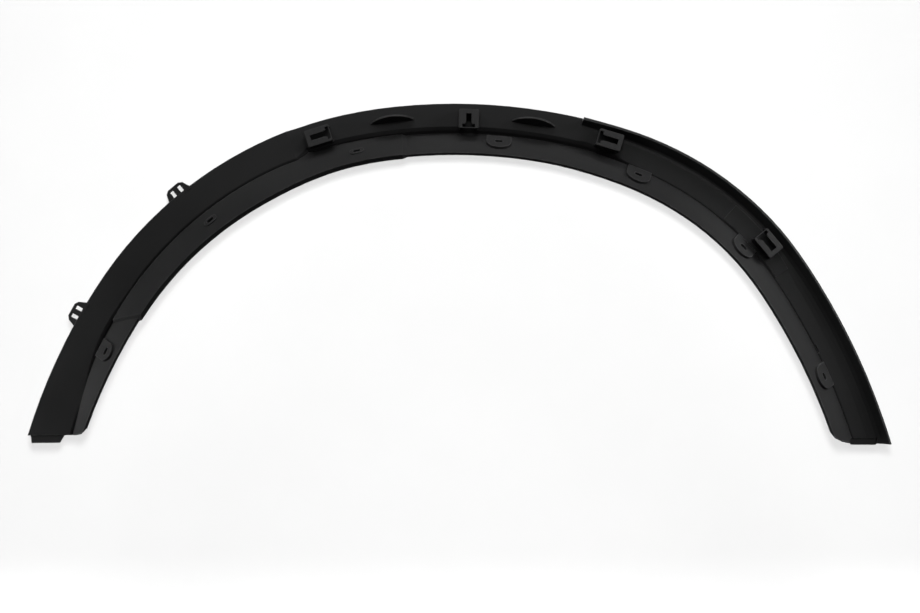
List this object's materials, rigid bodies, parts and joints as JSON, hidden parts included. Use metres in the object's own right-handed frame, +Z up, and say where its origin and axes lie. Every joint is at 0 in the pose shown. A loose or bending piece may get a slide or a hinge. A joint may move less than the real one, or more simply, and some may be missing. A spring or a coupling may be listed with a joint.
{
  "type": "wheel arch trim",
  "caption": "Black plastic wheel arch trim: a curved moulding with an inner flange, clip towers, screw pads, locating fins and snap loops on its inner side.",
  "frame": {"origin": "middle of the crown clip tower's top plate, where it meets the body side", "axes": "as fixed on the car: +X towards the rear of the car, +Z up, -Y towards the body"},
  "size_m": [0.8454, 0.0538, 0.3392],
  "materials": {
    "trim": "fine grained satin"
  },
  "bodies": {
    "root": {"wheel_arch_trim": "trim"}
  },
  "joints": []
}
